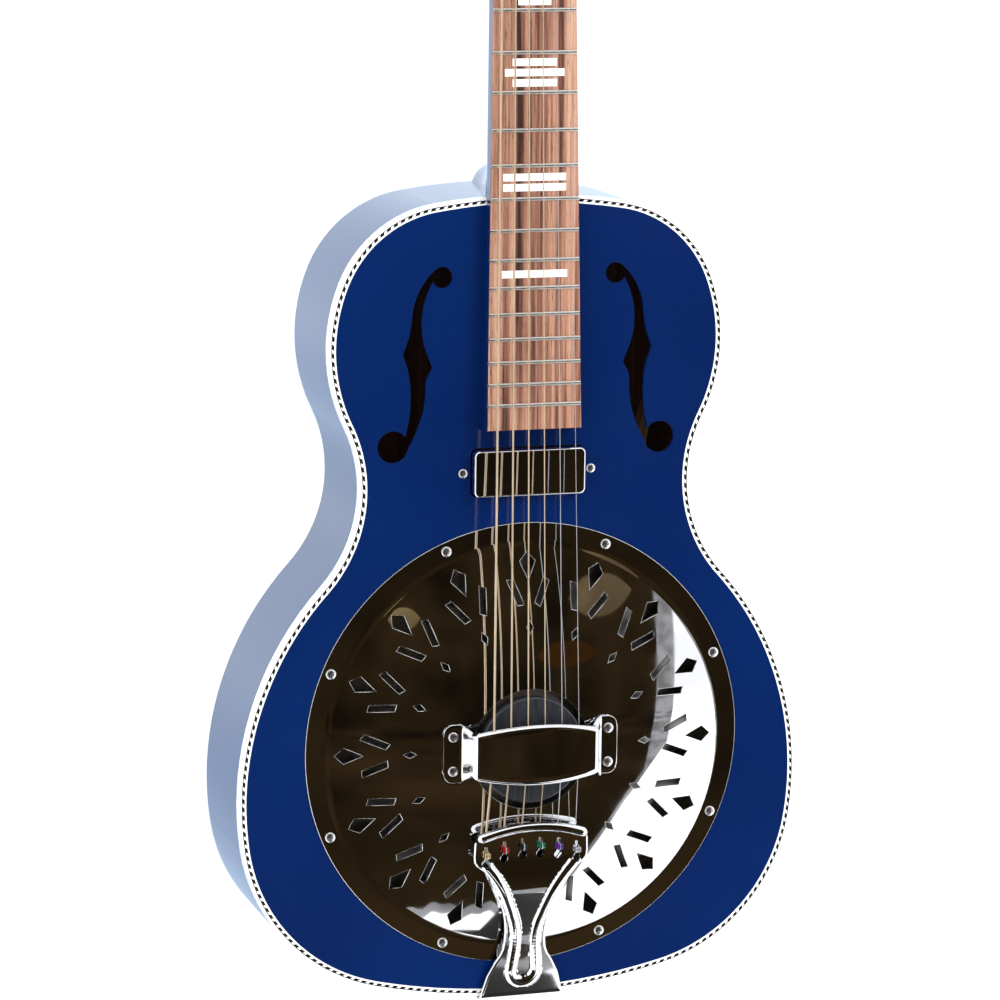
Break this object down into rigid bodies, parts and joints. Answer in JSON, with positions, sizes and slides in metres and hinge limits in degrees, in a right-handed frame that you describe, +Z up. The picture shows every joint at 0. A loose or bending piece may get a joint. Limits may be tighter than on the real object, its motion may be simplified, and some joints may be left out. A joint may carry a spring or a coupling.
{
  "type": "resonator guitar",
  "caption": "Single-cone resonator guitar: blue wooden body, domed metal coverplate, round neck joining at the twelfth fret, geared tuners, tailpiece and pickup.",
  "frame": {"origin": "the point where a wall hanger's yoke takes the guitar's weight, on the centre line under the flare of the headstock", "axes": "+Z up along the guitar, from the tail to the headstock, parallel to the soundboard; -Y out of the front, the way the strings face; +X to the treble side"},
  "size_m": [0.3458, 0.1196, 0.9837],
  "materials": {
    "ball_colours": "brass balls, one colour to a string",
    "black_plastic": "black gloss plastic",
    "blue_lacquer": "deep blue gloss lacquer over laminated wood",
    "blue_wood": "wood under deep blue gloss lacquer",
    "bone": "polished bone",
    "brass": "bare brass",
    "bronze_string": "phosphor bronze winding",
    "button": "cream plastic",
    "checker_purfling": "white strip with black checks",
    "chrome": "polished chrome plate over brass or steel",
    "coil_black": "black taped coils",
    "ebonised_wood": "blackened maple",
    "fret_wire": "polished nickel silver",
    "pale_wood": "bare spruce and maple inside the body",
    "pearl": "pearl inlay",
    "plain_string": "plain tinned steel",
    "rosewood": "oiled, dark streaks",
    "spun_aluminium": "spun, bare",
    "steel": "zinc-plated steel",
    "white_binding": "white celluloid"
  },
  "bodies": {
    "body": {"back_plate": "blue_wood", "ball_ends": "ball_colours", "bindings": "white_binding", "biscuit": "ebonised_wood", "cone": "spun_aluminium", "cover_screws": "chrome", "coverplate": "chrome", "end_blocks": "pale_wood", "end_pin_jack": "chrome", "fretboard": "rosewood", "frets": "fret_wire", "handrest": "chrome", "headstock_veneer": "blue_lacquer", "linings": "pale_wood", "neck": "blue_wood", "neck_bolts": "steel", "nut": "bone", "pickup_base": "brass", "pickup_coils": "coil_black", "pickup_cover": "chrome", "pickup_screws": "chrome", "pickup_springs": "steel", "position_markers": "pearl", "saddle": "ebonised_wood", "side_bass": "blue_wood", "side_treble": "blue_wood", "soundwell": "pale_wood", "string_1": "plain_string", "string_2": "plain_string", "string_3": "bronze_string", "string_4": "bronze_string", "string_5": "bronze_string", "string_6": "bronze_string", "tailpiece": "chrome", "tailpiece_screws": "chrome", "top_plate": "blue_wood", "top_purfling": "checker_purfling", "truss_rod": "steel", "truss_rod_cover": "black_plastic", "tuner_bushings": "chrome", "tuner_plates": "chrome", "tuner_screws": "chrome"},
    "tuner_key_1": {"tuner_button_1": "button", "tuner_worm_1": "chrome"},
    "tuner_post_1": {"tuner_post_1": "chrome"},
    "tuner_key_2": {"tuner_button_2": "button", "tuner_worm_2": "chrome"},
    "tuner_post_2": {"tuner_post_2": "chrome"},
    "tuner_key_3": {"tuner_button_3": "button", "tuner_worm_3": "chrome"},
    "tuner_post_3": {"tuner_post_3": "chrome"},
    "tuner_key_4": {"tuner_button_4": "button", "tuner_worm_4": "chrome"},
    "tuner_post_4": {"tuner_post_4": "chrome"},
    "tuner_key_5": {"tuner_button_5": "button", "tuner_worm_5": "chrome"},
    "tuner_post_5": {"tuner_post_5": "chrome"},
    "tuner_key_6": {"tuner_button_6": "button", "tuner_worm_6": "chrome"},
    "tuner_post_6": {"tuner_post_6": "chrome"}
  },
  "joints": [
    {"name": "tuner_key_1_turn", "type": "hinge", "parent": "body", "child": "tuner_key_1", "pos_m": [0.021, 0.01869, 0.01229], "axis": [1, 0, 0], "continuous": true},
    {"name": "tuner_post_1_turn", "type": "hinge", "parent": "body", "child": "tuner_post_1", "pos_m": [0.021, -0.00017, 0.02642], "axis": [0, -0.9588, 0.284], "continuous": true},
    {"name": "tuner_key_2_turn", "type": "hinge", "parent": "body", "child": "tuner_key_2", "pos_m": [0.022, 0.03147, 0.05543], "axis": [1, 0, 0], "continuous": true},
    {"name": "tuner_post_2_turn", "type": "hinge", "parent": "body", "child": "tuner_post_2", "pos_m": [0.022, 0.01261, 0.06957], "axis": [0, -0.9588, 0.284], "continuous": true},
    {"name": "tuner_key_3_turn", "type": "hinge", "parent": "body", "child": "tuner_key_3", "pos_m": [0.023, 0.04425, 0.09858], "axis": [1, 0, 0], "continuous": true},
    {"name": "tuner_post_3_turn", "type": "hinge", "parent": "body", "child": "tuner_post_3", "pos_m": [0.023, 0.02539, 0.11272], "axis": [0, -0.9588, 0.284], "continuous": true},
    {"name": "tuner_key_4_turn", "type": "hinge", "parent": "body", "child": "tuner_key_4", "pos_m": [-0.023, 0.04425, 0.09858], "axis": [1, 0, 0], "continuous": true},
    {"name": "tuner_post_4_turn", "type": "hinge", "parent": "body", "child": "tuner_post_4", "pos_m": [-0.023, 0.02539, 0.11272], "axis": [0, -0.9588, 0.284], "continuous": true},
    {"name": "tuner_key_5_turn", "type": "hinge", "parent": "body", "child": "tuner_key_5", "pos_m": [-0.022, 0.03147, 0.05543], "axis": [1, 0, 0], "continuous": true},
    {"name": "tuner_post_5_turn", "type": "hinge", "parent": "body", "child": "tuner_post_5", "pos_m": [-0.022, 0.01261, 0.06957], "axis": [0, -0.9588, 0.284], "continuous": true},
    {"name": "tuner_key_6_turn", "type": "hinge", "parent": "body", "child": "tuner_key_6", "pos_m": [-0.021, 0.01869, 0.01229], "axis": [1, 0, 0], "continuous": true},
    {"name": "tuner_post_6_turn", "type": "hinge", "parent": "body", "child": "tuner_post_6", "pos_m": [-0.021, -0.00017, 0.02642], "axis": [0, -0.9588, 0.284], "continuous": true}
  ],
  "couplings": [
    {"joint": "tuner_post_1_turn", "follows": "tuner_key_1_turn", "ratio": -0.071429},
    {"joint": "tuner_post_2_turn", "follows": "tuner_key_2_turn", "ratio": -0.071429},
    {"joint": "tuner_post_3_turn", "follows": "tuner_key_3_turn", "ratio": -0.071429},
    {"joint": "tuner_post_4_turn", "follows": "tuner_key_4_turn", "ratio": -0.071429},
    {"joint": "tuner_post_5_turn", "follows": "tuner_key_5_turn", "ratio": -0.071429},
    {"joint": "tuner_post_6_turn", "follows": "tuner_key_6_turn", "ratio": -0.071429}
  ]
}
